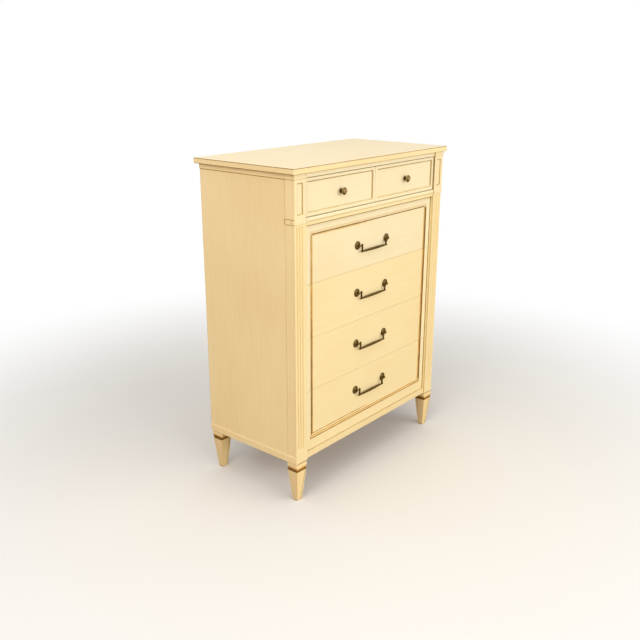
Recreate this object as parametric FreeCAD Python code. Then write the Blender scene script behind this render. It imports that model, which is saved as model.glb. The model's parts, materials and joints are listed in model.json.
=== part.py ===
import FreeCAD, Part
import math
import os

# Highboy: two small drawers over four wide ones, in a case with fluted
# corner posts on four tapered feet. Millimetres, +Z up, the front faces -Y
# and +X is the viewer's right. The origin lies on the floor under the
# middle of the overall box.

# Case
case_width = 909.6
case_depth = 456.0
top_thickness = 19.5
top_side_overhang = 13.7
top_front_overhang = 12.0
top_back_overhang = 17.5
top_corner_radius = 3.0
top_edge_radius = 2.0

# Heights of the layers of the front, from the floor up
foot_height = 160.7
base_height = 28.0
drawer_4_height = 234.0
drawer_3_height = 202.4
drawer_2_height = 202.9
drawer_1_height = 212.0
upper_rail_height = 14.5
moulding_height = 15.0
small_drawer_height = 132.0
frieze_height = 19.0

# Posts
post_width = 61.5
post_depth = 42.5
joint_groove = 1.6
flute_count = 3
flute_width = 8.0
flute_depth = 3.0
flute_spacing = 13.3
middle_flute_inset = 26.5
flute_foot_margin = 54.3
flute_head_margin = 6.5
ring_height = 17.8
ring_projection = 3.0
ring_radius = 2.4
die_projection = 1.2
die_inner_setback = 4.5
die_panel_width = 29.0
die_panel_foot_margin = 14.5
die_panel_head_margin = 11.5
cap_projection = 3.0
cap_slope = 1.8

# Feet
foot_inset_x = 28.5
front_foot_inset_y = 23.0
back_foot_inset_y = 29.0
collar_width = 57.5
collar_depth = 51.5
collar_height = 28.4
collar_corner = 5.0
collar_draw_in = 3.5
collar_steps = 8
neck_height = 3.0
neck_inset = 1.5
leg_head_width = 54.0
leg_head_depth = 48.5
leg_toe_width = 28.5
leg_toe_depth = 24.0
leg_corner = 3.0
toe_chamfer = 1.2
bolt_diameter = 8.0
bolt_length = 100.0
bolt_share_in_foot = 0.6
bolt_hole_clearance = 0.05
bolt_end_clearance = 1.0

# Boards of the case
side_thickness = 18.0
board_thickness = 15.0
back_thickness = 6.0
back_inset = 3.0
stile_width = 40.0
top_rail_width = 70.0
divider_thickness = 18.0
guide_height = 20.0

# Face pieces between the posts, measured back from the posts' front faces
bottom_rail_setback = 3.0
bottom_rail_lift = 2.3
upper_rail_setback = 1.0
frieze_setback = 2.0
moulding_projection = 1.0
moulding_radius = 5.0
rail_edge_radius = 1.5

# Mouldings on the sides
base_moulding_height = 27.5
base_moulding_projection = 2.6
base_moulding_radius = 2.2

# Drawer fronts
wide_front_setback = 10.0
small_front_setback = 5.0
front_seat_depth = 30.0
front_side_gap = 1.5
front_gap = 1.0
centre_gap = 2.0
front_edge_radius = 0.8
wide_border_side = 27.6
wide_border_top = 23.7
wide_border_bottom = 41.5
small_border_top = 10.6
small_border_bottom = 12.8
small_border_outer = 12.5
small_border_centre = 12.0

# Sections of the sunk panels' mouldings, from the lip inwards: how far in
# from the lip, and how deep under the face
wide_moulding = ((0.0, 0.6), (8.5, 1.4), (11.5, 3.4), (14.0, 4.0))
small_moulding = ((0.0, 1.2), (4.0, 4.5))
die_moulding = ((0.0, 1.0), (2.0, 3.0))

# Drawer boxes and their running gaps
box_side_thickness = 12.0
box_back_thickness = 12.0
box_bottom_thickness = 6.0
box_bottom_lift = 10.0
box_rear_gap = 10.0
box_head_gap = 6.0
box_back_drop = 8.0
divider_gap = 1.5
runner_gap = 0.3
stop_gap = 0.3

# Knobs
knob_diameter = 27.5
knob_length = 22.5
knob_base_diameter = 17.0
knob_base_thickness = 2.0
knob_neck_diameter = 9.0
knob_head_thickness = 8.5
knob_rim_thickness = 3.0
knob_ring_diameter = 15.0
knob_ring_width = 1.6
knob_ring_depth = 0.9

# Bail pulls
pull_half_spread = 90.5
pull_height_shares = (0.432, 0.549, 0.540, 0.635)
rosette_diameter = 32.5
rosette_thickness = 3.4
rosette_rim_thickness = 1.5
stem_diameter = 7.0
head_diameter = 9.4
pivot_standoff = 11.7
bail_drop = 24.0
arm_half_spread = 75.0
arm_thickness = 5.5
arm_head_rise = 5.0
bar_end_reach = 5.0
bar_tip_diameter = 2.4
bar_end_diameter = 5.4
bar_middle_diameter = 8.8
pin_diameter = 4.0
pin_clearance = 0.06

# Screws that hold the knobs and pulls
screw_diameter = 4.0
screw_clearance = 0.3
screw_grip = 7.0
screw_head_diameter = 9.0
screw_head_thickness = 2.6
thread_clearance = 0.05

# Let every cutter run past the faces that it opens
overrun = 2.0

# Levels worked out from the sizes above
level_4 = foot_height + base_height
level_3 = level_4 + drawer_4_height
level_2 = level_3 + drawer_3_height
level_1 = level_2 + drawer_2_height
upper_rail_level = level_1 + drawer_1_height
moulding_level = upper_rail_level + upper_rail_height
small_level = moulding_level + moulding_height
frieze_level = small_level + small_drawer_height
top_level = frieze_level + frieze_height

# Depths from front to back
small_face_depth = small_front_setback + small_moulding[-1][1]
wide_face_depth = wide_front_setback + wide_moulding[-1][1]
front_reach = max(top_front_overhang, knob_length - small_face_depth)
overall_depth = front_reach + case_depth + top_back_overhang
posts_front = front_reach - overall_depth / 2
case_back = posts_front + case_depth
front_seat = posts_front + front_seat_depth
board_front = front_seat + stop_gap
panel_back = case_back - back_inset
panel_front = panel_back - back_thickness
stile_front = panel_front - stile_width
side_front = posts_front + post_depth

# Half widths from the middle plane outwards
case_half = case_width / 2
opening_half = case_half - post_width
inner_half = case_half - side_thickness
front_half = opening_half - front_side_gap
die_inner = opening_half + die_inner_setback
small_front_half = die_inner - front_side_gap

middle_flute_x = case_half - middle_flute_inset
foot_x = case_half - foot_inset_x
front_foot_y = posts_front + front_foot_inset_y
back_foot_y = case_back - back_foot_inset_y
stile_half = inner_half - stile_width

small_panel_face = posts_front + small_face_depth
wide_panel_face = posts_front + wide_face_depth


def vec(x, y, z):
    return FreeCAD.Vector(x, y, z)


ORIGIN = vec(0, 0, 0)
ALONG_X = vec(1, 0, 0)
ALONG_Y = vec(0, 1, 0)
ALONG_Z = vec(0, 0, 1)


def block(x0, x1, y0, y1, z0, z1):
    return Part.makeBox(x1 - x0, y1 - y0, z1 - z0, vec(x0, y0, z0))


def mirrored(shape):
    return shape.mirror(ORIGIN, ALONG_X)


def both_sides(shape):
    return Part.Compound([shape, mirrored(shape)])


def lies_at(edge, axis, place):
    box = edge.BoundBox
    low = {"x": box.XMin, "y": box.YMin, "z": box.ZMin}[axis]
    high = {"x": box.XMax, "y": box.YMax, "z": box.ZMax}[axis]
    near = case_width * 1e-7
    return abs(low - place) < near and abs(high - place) < near


def rounded(shape, radius, *meetings):
    """Round each edge where two named planes meet, given as (axis, place)."""
    chosen = []
    for first, second in meetings:
        for edge in shape.Edges:
            if lies_at(edge, *first) and lies_at(edge, *second):
                chosen.append(edge)
    return shape.makeFillet(radius, chosen)


def rectangle(x0, x1, z0, z1, y):
    corners = [vec(x0, y, z0), vec(x1, y, z0), vec(x1, y, z1), vec(x0, y, z1)]
    return Part.makePolygon(corners + corners[:1])


def sunk_panel(x0, x1, z0, z1, face, moulding):
    """Cutter for a panel sunk in a front: a short step, then slopes."""
    cutter = block(x0, x1, face - overrun, face + moulding[0][1], z0, z1)
    wires = []
    for inset, depth in moulding:
        wires.append(rectangle(
            x0 + inset, x1 - inset, z0 + inset, z1 - inset, face + depth
        ))
    for outer, inner in zip(wires, wires[1:]):
        cutter = cutter.fuse(Part.makeLoft([outer, inner], True, True))
    return cutter


def side_groove(z0, z1):
    """V groove where the right post meets the right side."""
    outer = case_half + cap_projection + overrun
    reach = outer - case_half + joint_groove
    tip = vec(outer - reach, side_front, z0)
    fore = vec(outer, side_front - reach, z0)
    aft = vec(outer, side_front + reach, z0)
    face = Part.Face(Part.makePolygon([tip, fore, aft, tip]))
    return face.extrude(vec(0, 0, z1 - z0))


def flute(x):
    """Round-bottomed groove with ball ends, cut into the post's front."""
    radius = (flute_width ** 2 / 4 + flute_depth ** 2) / (2 * flute_depth)
    axis_y = posts_front - radius + flute_depth
    z0 = foot_height + flute_foot_margin + flute_width / 2
    z1 = small_level - ring_height - flute_head_margin - flute_width / 2
    groove = Part.makeCylinder(radius, z1 - z0, vec(x, axis_y, z0))
    for z in (z0, z1):
        groove = groove.fuse(Part.makeSphere(radius, vec(x, axis_y, z)))
    return groove


def bolt_hole(x, y, z0, z1):
    radius = bolt_diameter / 2 + bolt_hole_clearance
    return Part.makeCylinder(radius, z1 - z0, vec(x, y, z0))


def post_ring():
    front = posts_front - ring_projection
    outer = case_half + ring_projection
    z0 = small_level - ring_height
    ring = block(opening_half, outer, front, side_front, z0, small_level)
    return rounded(
        ring,
        ring_radius,
        (("y", front), ("z", z0)),
        (("y", front), ("z", small_level)),
        (("x", outer), ("z", z0)),
        (("x", outer), ("z", small_level)),
        (("x", outer), ("y", front)),
    )


def post_cap():
    """Block at the post's head, its lower edge drawn in by a slope."""
    front = posts_front - cap_projection
    outer = case_half + cap_projection
    slope_top = frieze_level + cap_slope
    body = block(opening_half, outer, front, side_front, slope_top, top_level)
    sections = []
    for draw_in, z in ((cap_slope, frieze_level), (0, slope_top)):
        corners = [
            vec(opening_half, front + draw_in, z),
            vec(outer - draw_in, front + draw_in, z),
            vec(outer - draw_in, side_front, z),
            vec(opening_half, side_front, z),
        ]
        sections.append(Part.makePolygon(corners + corners[:1]))
    return body.fuse(Part.makeLoft(sections, True, True))


def right_post():
    post = block(
        opening_half, case_half, posts_front, side_front, foot_height, top_level
    )
    post = post.cut(block(
        opening_half - overrun,
        die_inner,
        posts_front - overrun,
        side_front + overrun,
        small_level,
        frieze_level,
    ))
    die_front = posts_front - die_projection
    die_outer = case_half + die_projection
    die = block(
        die_inner, die_outer, die_front, side_front, small_level, frieze_level
    )
    post = post.fuse([die, post_ring(), post_cap()])
    for n in range(flute_count):
        shift = (n - (flute_count - 1) / 2) * flute_spacing
        post = post.cut(flute(middle_flute_x + shift))
    die_middle = (die_inner + die_outer) / 2
    panel = sunk_panel(
        die_middle - die_panel_width / 2,
        die_middle + die_panel_width / 2,
        small_level + die_panel_foot_margin,
        frieze_level - die_panel_head_margin,
        die_front,
        die_moulding,
    )
    post = post.cut(panel)
    post = post.cut(side_groove(foot_height - overrun, frieze_level))
    hole_top = bolt_top() + bolt_end_clearance
    post = post.cut(bolt_hole(foot_x, front_foot_y, foot_height, hole_top))
    return post.removeSplitter()


def right_side_panel():
    panel = block(
        inner_half, case_half, side_front, case_back, foot_height, top_level
    )
    return panel.cut(side_groove(foot_height - overrun, frieze_level))


def back_stile():
    stile = block(
        stile_half, inner_half, stile_front, panel_front, foot_height, frieze_level
    )
    hole_top = bolt_top() + bolt_end_clearance
    return stile.cut(bolt_hole(foot_x, back_foot_y, foot_height, hole_top))


def top_panel():
    half = case_half + top_side_overhang
    front = posts_front - top_front_overhang
    back = case_back + top_back_overhang
    upper = top_level + top_thickness
    slab = block(-half, half, front, back, top_level, upper)
    corners = [(("x", x), ("y", y)) for x in (-half, half) for y in (front, back)]
    slab = rounded(slab, top_corner_radius, *corners)
    rim = [edge for edge in slab.Edges if lies_at(edge, "z", upper)]
    return slab.makeFillet(top_edge_radius, rim)


def board(level):
    """Dust board about a level, notched for the posts and back stiles."""
    z0 = level - board_thickness / 2
    z1 = level + board_thickness / 2
    middle = block(-opening_half, opening_half, board_front, panel_front, z0, z1)
    wide = block(-inner_half, inner_half, side_front, stile_front, z0, z1)
    return middle.fuse(wide).removeSplitter()


def back_panel():
    z0 = level_4 - board_thickness / 2
    return block(-inner_half, inner_half, panel_front, panel_back, z0, top_level)


def top_front_rail():
    y1 = side_front + top_rail_width
    return block(-inner_half, inner_half, side_front, y1, frieze_level, top_level)


def top_back_rail():
    y0 = panel_front - top_rail_width
    return block(-inner_half, inner_half, y0, panel_front, frieze_level, top_level)


def front_frieze():
    y0 = posts_front + frieze_setback
    piece = block(
        -opening_half, opening_half, y0, side_front, frieze_level, top_level
    )
    return rounded(piece, rail_edge_radius, (("y", y0), ("z", frieze_level)))


def mid_moulding():
    y0 = posts_front - moulding_projection
    piece = block(
        -opening_half, opening_half, y0, board_front, moulding_level, small_level
    )
    return rounded(
        piece,
        moulding_radius,
        (("y", y0), ("z", moulding_level)),
        (("y", y0), ("z", small_level)),
    )


def face_rail(setback, z0, z1):
    y0 = posts_front + setback
    rail = block(-opening_half, opening_half, y0, board_front, z0, z1)
    return rounded(
        rail, rail_edge_radius, (("y", y0), ("z", z0)), (("y", y0), ("z", z1))
    )


def base_moulding():
    """Moulding at the foot of the right side, from the front to the back."""
    outer = case_half + base_moulding_projection
    z0 = foot_height
    z1 = foot_height + base_moulding_height
    strip = block(case_half, outer, posts_front, case_back, z0, z1)
    return rounded(
        strip,
        base_moulding_radius,
        (("x", outer), ("z", z0)),
        (("x", outer), ("z", z1)),
    )


def frieze_strip():
    """Strip at the head of the right side, with the section of the post's cap."""
    outer = case_half + cap_projection
    slope_top = frieze_level + cap_slope
    profile = (
        (case_half, frieze_level),
        (outer - cap_slope, frieze_level),
        (outer, slope_top),
        (outer, top_level),
        (case_half, top_level),
    )
    points = [vec(x, side_front, z) for x, z in profile]
    face = Part.Face(Part.makePolygon(points + points[:1]))
    return face.extrude(vec(0, case_back - side_front, 0))


def upper_divider():
    half = divider_thickness / 2
    z0 = small_level + board_thickness / 2
    return block(-half, half, board_front, panel_front, z0, frieze_level)


def guide_pair(level):
    """Strips on a dust board that keep a drawer straight."""
    z0 = level + board_thickness / 2
    strip = block(
        opening_half, inner_half, side_front, stile_front, z0, z0 + guide_height
    )
    return [strip, mirrored(strip)]


def rounded_rectangle(width, depth, corner, z):
    """Closed rectangle with round corners, about the vertical axis."""
    half_x = width / 2
    half_y = depth / 2
    flat_x = half_x - corner
    flat_y = half_y - corner
    reach = corner * math.cos(math.pi / 4)
    half_outline = (
        Part.LineSegment(vec(half_x, -flat_y, z), vec(half_x, flat_y, z)),
        Part.Arc(
            vec(half_x, flat_y, z),
            vec(flat_x + reach, flat_y + reach, z),
            vec(flat_x, half_y, z),
        ),
        Part.LineSegment(vec(flat_x, half_y, z), vec(-flat_x, half_y, z)),
        Part.Arc(
            vec(-flat_x, half_y, z),
            vec(-flat_x - reach, flat_y + reach, z),
            vec(-half_x, flat_y, z),
        ),
    )
    edges = []
    for turn in (0, 180):
        for curve in half_outline:
            edge = curve.toShape()
            edge.rotate(ORIGIN, ALONG_Z, turn)
            edges.append(edge)
    return Part.Wire(edges)


def foot(x, y):
    """Tapered leg under a rolled collar, with a groove between."""
    neck_top = foot_height - collar_height
    neck_bottom = neck_top - neck_height
    neck = (leg_head_width - 2 * neck_inset, leg_head_depth - 2 * neck_inset)
    toe = (leg_toe_width - 2 * toe_chamfer, leg_toe_depth - 2 * toe_chamfer)
    sections = [
        (*toe, leg_corner, 0),
        (leg_toe_width, leg_toe_depth, leg_corner, toe_chamfer),
        (leg_head_width, leg_head_depth, leg_corner, neck_bottom - neck_inset),
        (*neck, leg_corner, neck_bottom),
        (*neck, leg_corner, neck_top),
    ]
    for n in range(collar_steps + 1):
        angle = math.pi * n / collar_steps
        draw_in = collar_draw_in * (1 - math.sin(angle))
        rise = collar_height * (1 - math.cos(angle)) / 2
        width = collar_width - 2 * draw_in
        depth = collar_depth - 2 * draw_in
        sections.append((width, depth, collar_corner, neck_top + rise))
    shape = None
    for lower, upper in zip(sections, sections[1:]):
        if lower[-1] == upper[-1]:
            continue
        wires = [rounded_rectangle(*lower), rounded_rectangle(*upper)]
        piece = Part.makeLoft(wires, True, True)
        shape = shape.fuse(piece) if shape else piece
    shape.translate(vec(x, y, 0))
    hole_bottom = bolt_top() - bolt_length - bolt_end_clearance
    return shape.cut(bolt_hole(x, y, hole_bottom, foot_height + overrun))


def bolt_top():
    return foot_height + bolt_length * (1 - bolt_share_in_foot)


def foot_places():
    return {
        "front_left_foot": (-foot_x, front_foot_y),
        "front_right_foot": (foot_x, front_foot_y),
        "back_left_foot": (-foot_x, back_foot_y),
        "back_right_foot": (foot_x, back_foot_y),
    }


def foot_bolts():
    bolts = []
    for x, y in foot_places().values():
        start = vec(x, y, bolt_top() - bolt_length)
        bolts.append(Part.makeCylinder(bolt_diameter / 2, bolt_length, start))
    return Part.Compound(bolts)


def screw_hole(x, z, face):
    radius = screw_diameter / 2 + screw_clearance
    length = front_seat - face + 2 * overrun
    return Part.makeCylinder(radius, length, vec(x, face - overrun, z), ALONG_Y)


def fixing_screw(x, z, face):
    """Screw from inside the drawer into a knob or pull on the front."""
    shank_length = front_seat - face + screw_grip
    shank = Part.makeCylinder(
        screw_diameter / 2, shank_length, vec(x, face - screw_grip, z), ALONG_Y
    )
    head = Part.makeCylinder(
        screw_head_diameter / 2, screw_head_thickness, vec(x, front_seat, z), ALONG_Y
    )
    return shank.fuse(head)


def thread_hole(x, z, face):
    radius = screw_diameter / 2 + thread_clearance
    depth = screw_grip + bolt_end_clearance
    return Part.makeCylinder(radius, depth + overrun, vec(x, face - depth, z), ALONG_Y)


def drawer_front(x0, x1, z0, z1, setback, panel, moulding, screws):
    face = posts_front + setback
    front = block(x0, x1, face, front_seat, z0, z1)
    front = rounded(
        front,
        front_edge_radius,
        (("y", face), ("x", x0)),
        (("y", face), ("x", x1)),
        (("y", face), ("z", z0)),
        (("y", face), ("z", z1)),
    )
    front = front.cut(sunk_panel(*panel, face, moulding))
    for x, z in screws:
        front = front.cut(screw_hole(x, z, face + moulding[-1][1]))
    return front


def drawer_box(x0, x1, level, ceiling):
    """Sides, back and bottom of a drawer between two levels."""
    z0 = level + board_thickness / 2 + runner_gap
    z1 = ceiling - board_thickness / 2 - box_head_gap
    rear = panel_front - box_rear_gap
    back_y = rear - box_back_thickness
    inner0 = x0 + box_side_thickness
    inner1 = x1 - box_side_thickness
    floor = z0 + box_bottom_lift
    sides = Part.Compound([
        block(x0, inner0, front_seat, rear, z0, z1),
        block(inner1, x1, front_seat, rear, z0, z1),
    ])
    back = block(inner0, inner1, back_y, rear, z0, z1 - box_back_drop)
    bottom = block(
        inner0, inner1, front_seat, back_y, floor, floor + box_bottom_thickness
    )
    return {"sides": sides, "back": back, "bottom": bottom}


def small_drawer():
    """Pieces of the right-hand small drawer; the left one mirrors them."""
    x0 = centre_gap / 2
    z0 = small_level + front_gap / 2
    z1 = frieze_level - front_gap / 2
    panel = (
        x0 + small_border_centre,
        small_front_half - small_border_outer,
        z0 + small_border_bottom,
        z1 - small_border_top,
    )
    knob_x = (panel[0] + panel[1]) / 2
    knob_z = (panel[2] + panel[3]) / 2
    pieces = drawer_box(
        divider_thickness / 2 + divider_gap, front_half, small_level, frieze_level
    )
    pieces["front"] = drawer_front(
        x0,
        small_front_half,
        z0,
        z1,
        small_front_setback,
        panel,
        small_moulding,
        [(knob_x, knob_z)],
    )
    pieces["knob"] = Part.Compound([
        knob(knob_x, knob_z),
        fixing_screw(knob_x, knob_z, small_panel_face),
    ])
    return pieces


def wide_drawer(level, ceiling, top_border, bottom_border, pull_z):
    """Pieces of a wide drawer; a missing border lets the panel run on."""
    z0 = level + front_gap / 2
    z1 = ceiling - front_gap / 2
    past = wide_moulding[-1][0] + overrun
    panel = (
        -front_half + wide_border_side,
        front_half - wide_border_side,
        z0 + bottom_border if bottom_border else z0 - past,
        z1 - top_border if top_border else z1 + past,
    )
    screws = [(-pull_half_spread, pull_z), (pull_half_spread, pull_z)]
    pieces = drawer_box(-front_half, front_half, level, ceiling)
    pieces["front"] = drawer_front(
        -front_half,
        front_half,
        z0,
        z1,
        wide_front_setback,
        panel,
        wide_moulding,
        screws,
    )
    return pieces


def turned(profile, x, y, z):
    """Solid turned about the -Y axis from (radius, distance out) points."""
    points = [vec(radius, -out, 0) for radius, out in profile]
    face = Part.Face(Part.makePolygon(points + points[:1]))
    solid = face.revolve(ORIGIN, ALONG_Y, 360)
    solid.translate(vec(x, y, z))
    return solid


def quarter_points(radius0, out0, radius1, out1, steps, hollow):
    """Points of a quarter ellipse from one place to another."""
    points = []
    for n in range(1, steps):
        angle = n / steps * math.pi / 2
        across = 1 - math.cos(angle) if hollow else math.sin(angle)
        along = math.sin(angle) if hollow else 1 - math.cos(angle)
        radius = radius0 + (radius1 - radius0) * across
        points.append((radius, out0 + (out1 - out0) * along))
    return points


def knob(x, z):
    base = knob_base_diameter / 2
    neck = knob_neck_diameter / 2
    rim = knob_diameter / 2
    head_back = knob_length - knob_head_thickness
    rim_front = head_back + knob_rim_thickness
    ring = knob_ring_diameter / 2
    ring_inner = ring - knob_ring_width
    crown = knob_length - knob_ring_depth
    profile = [(0, 0), (base, 0), (base, knob_base_thickness)]
    profile += [(neck, (knob_base_thickness + head_back) / 2)]
    profile += [(neck, head_back - knob_base_thickness), (rim, head_back)]
    profile += [(rim, rim_front)]
    profile += quarter_points(rim, rim_front, ring, knob_length, 6, True)
    profile += [(ring, knob_length), (ring, crown), (ring_inner, crown)]
    profile += [(ring_inner, knob_length), (0, knob_length)]
    solid = turned(profile, x, small_panel_face, z)
    return solid.cut(thread_hole(x, z, small_panel_face))


def pull_mount(z):
    """Right-hand rosette and post with the hole that carries the bail."""
    rim = rosette_diameter / 2
    stem = stem_diameter / 2
    profile = [(0, 0), (rim, 0), (rim, rosette_rim_thickness)]
    profile += quarter_points(
        rim, rosette_rim_thickness, stem, rosette_thickness, 5, True
    )
    profile += [(stem, rosette_thickness), (stem, pivot_standoff)]
    profile += [(0, pivot_standoff)]
    solid = turned(profile, pull_half_spread, wide_panel_face, z)
    pivot = vec(pull_half_spread, wide_panel_face - pivot_standoff, z)
    solid = solid.fuse(Part.makeSphere(head_diameter / 2, pivot))
    hole_start = vec(pull_half_spread - head_diameter, pivot.y, z)
    hole = Part.makeCylinder(
        pin_diameter / 2 + pin_clearance,
        head_diameter + bolt_end_clearance,
        hole_start,
        ALONG_X,
    )
    solid = solid.cut(hole)
    return solid.cut(thread_hole(pull_half_spread, z, wide_panel_face))


def pull_mounts(z):
    screw = fixing_screw(pull_half_spread, z, wide_panel_face)
    mount = pull_mount(z)
    return Part.Compound([mount, mirrored(mount), screw, mirrored(screw)])


def bail(z):
    """Hanging handle: two square arms, a swelled bar and two pivot pins."""
    y = wide_panel_face - pivot_standoff
    half = arm_thickness / 2
    bar_z = z - bail_drop
    outer = arm_half_spread + half
    arm = block(
        arm_half_spread - half,
        outer,
        y - half,
        y + half,
        bar_z - half,
        z + arm_head_rise,
    )
    pin = Part.makeCylinder(
        pin_diameter / 2, pull_half_spread - outer, vec(outer, y, z), ALONG_X
    )
    end = outer + bar_end_reach
    middle = bar_middle_diameter / 2
    neck = bar_end_diameter / 2
    tip = bar_tip_diameter / 2
    swell = Part.Arc(vec(-outer, neck, 0), vec(0, middle, 0), vec(outer, neck, 0))
    outline = [
        Part.LineSegment(vec(-end, 0, 0), vec(-end, tip, 0)).toShape(),
        Part.LineSegment(vec(-end, tip, 0), vec(-outer, neck, 0)).toShape(),
        swell.toShape(),
        Part.LineSegment(vec(outer, neck, 0), vec(end, tip, 0)).toShape(),
        Part.LineSegment(vec(end, tip, 0), vec(end, 0, 0)).toShape(),
        Part.LineSegment(vec(end, 0, 0), vec(-end, 0, 0)).toShape(),
    ]
    bar = Part.Face(Part.Wire(outline)).revolve(ORIGIN, ALONG_X, 360)
    bar.translate(vec(0, y, bar_z))
    return bar.fuse([arm, mirrored(arm), pin, mirrored(pin)])


def case_parts():
    rail_bottom = foot_height + bottom_rail_lift
    wide_guides = []
    for level in (level_1, level_2, level_3, level_4):
        wide_guides += guide_pair(level)
    post = right_post()
    side = right_side_panel()
    return {
        "top_panel": top_panel(),
        "right_post": post,
        "left_post": mirrored(post),
        "right_side_panel": side,
        "left_side_panel": mirrored(side),
        "back_stiles": both_sides(back_stile()),
        "back_panel": back_panel(),
        "bottom_board": board(level_4),
        "dust_boards": Part.Compound([board(z) for z in (level_3, level_2, level_1)]),
        "upper_dust_board": board(small_level),
        "upper_divider": upper_divider(),
        "top_front_rail": top_front_rail(),
        "top_back_rail": top_back_rail(),
        "front_frieze": front_frieze(),
        "mid_moulding": mid_moulding(),
        "upper_rail": face_rail(upper_rail_setback, upper_rail_level, moulding_level),
        "bottom_rail": face_rail(bottom_rail_setback, rail_bottom, level_4),
        "base_mouldings": both_sides(base_moulding()),
        "frieze_strips": both_sides(frieze_strip()),
        "wide_drawer_guides": Part.Compound(wide_guides),
        "small_drawer_guides": Part.Compound(guide_pair(small_level)),
        "foot_bolts": foot_bolts(),
    }


def drawer_parts():
    parts = {}
    for name, piece in small_drawer().items():
        parts["upper_right_" + name] = piece
        parts["upper_left_" + name] = mirrored(piece)
    bays = (
        (level_1, upper_rail_level, wide_border_top, None),
        (level_2, level_1, None, None),
        (level_3, level_2, None, None),
        (level_4, level_3, None, wide_border_bottom),
    )
    for n, (bay, share) in enumerate(zip(bays, pull_height_shares), 1):
        level, ceiling, top_border, bottom_border = bay
        pull_z = level + share * (ceiling - level)
        pieces = wide_drawer(level, ceiling, top_border, bottom_border, pull_z)
        for name, piece in pieces.items():
            parts[f"drawer_{n}_{name}"] = piece
        parts[f"drawer_{n}_pull_mounts"] = pull_mounts(pull_z)
        parts[f"bail_{n}"] = bail(pull_z)
    return parts


def main():
    os.makedirs("parts", exist_ok=True)
    parts = case_parts()
    for name, place in foot_places().items():
        parts[name] = foot(*place)
    parts.update(drawer_parts())
    for name, shape in parts.items():
        shape.exportStep(f"parts/{name}.step")


main()
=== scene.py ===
import json
import math

import bmesh
import bpy
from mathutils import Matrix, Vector


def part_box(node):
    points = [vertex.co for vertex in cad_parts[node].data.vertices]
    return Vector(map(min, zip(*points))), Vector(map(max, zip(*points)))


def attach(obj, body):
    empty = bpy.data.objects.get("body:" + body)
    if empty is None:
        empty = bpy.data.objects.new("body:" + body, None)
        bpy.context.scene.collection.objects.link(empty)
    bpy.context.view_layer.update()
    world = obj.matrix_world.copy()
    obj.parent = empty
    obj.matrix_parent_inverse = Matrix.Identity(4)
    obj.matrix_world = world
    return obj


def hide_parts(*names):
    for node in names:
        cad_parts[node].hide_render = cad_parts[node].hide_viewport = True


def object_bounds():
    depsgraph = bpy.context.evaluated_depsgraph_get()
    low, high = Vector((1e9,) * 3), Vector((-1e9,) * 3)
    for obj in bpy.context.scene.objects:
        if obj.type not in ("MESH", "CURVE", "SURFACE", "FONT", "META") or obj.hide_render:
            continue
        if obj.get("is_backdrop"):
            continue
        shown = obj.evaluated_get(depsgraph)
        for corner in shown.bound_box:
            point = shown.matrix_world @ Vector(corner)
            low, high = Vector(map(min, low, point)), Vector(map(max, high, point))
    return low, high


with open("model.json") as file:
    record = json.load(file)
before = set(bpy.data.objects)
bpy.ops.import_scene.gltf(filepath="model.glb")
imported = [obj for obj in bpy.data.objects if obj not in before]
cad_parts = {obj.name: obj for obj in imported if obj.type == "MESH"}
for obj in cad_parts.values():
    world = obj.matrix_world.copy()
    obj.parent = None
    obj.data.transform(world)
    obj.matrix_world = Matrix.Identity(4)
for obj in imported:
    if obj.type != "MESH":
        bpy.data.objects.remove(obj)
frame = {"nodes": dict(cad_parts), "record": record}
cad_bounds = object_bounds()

# Highboy in cream paint with a brown glaze, with antique brass knobs and
# bails. Metres, +Z up, the front faces -Y.
MM = 0.001

# Places of the main planes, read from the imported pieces
side_low, side_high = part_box("right_side_panel")
frieze_low, frieze_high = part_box("front_frieze")
moulding_low, moulding_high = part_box("mid_moulding")
base_low, base_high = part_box("base_mouldings")
strip_low, strip_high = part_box("frieze_strips")
slab_low, slab_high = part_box("top_panel")
case_half = side_high.x
side_front = side_low.y
case_back = side_high.y
posts_front = base_low.y
opening_half = frieze_high.x
foot_level = side_low.z
top_level = side_high.z
small_level = moulding_high.z
frieze_level = frieze_low.z
rail_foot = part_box("upper_rail")[0].z
front_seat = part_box("drawer_1_front")[1].y

# Sizes of the surface details, as on the pieces themselves
ring_height = 17.8 * MM
flute_width = 8.0 * MM
flute_depth = 3.0 * MM
flute_lip = 0.4 * MM
flute_spacing = 13.3 * MM
die_panel_width = 29.0 * MM
die_panel_foot_margin = 14.5 * MM
die_panel_head_margin = 11.5 * MM
die_inner_setback = 4.5 * MM
die_projection = 1.2 * MM
die_middle = (opening_half + die_inner_setback + case_half + die_projection) / 2
flute_middle = case_half - 26.5 * MM
die_slope = 2.0 * MM
wide_border_side = 27.6 * MM
wide_border_top = 23.7 * MM
wide_border_bottom = 41.5 * MM
wide_slope = 14.0 * MM
small_border_top = 10.6 * MM
small_border_bottom = 12.8 * MM
small_border_outer = 12.5 * MM
small_border_centre = 12.0 * MM
small_slope = 4.0 * MM
collar_height = 28.4 * MM
neck_height = 3.0 * MM
leg_head_width = 54.0 * MM
leg_head_depth = 48.5 * MM
leg_toe_width = 28.5 * MM
leg_toe_depth = 24.0 * MM

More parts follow.
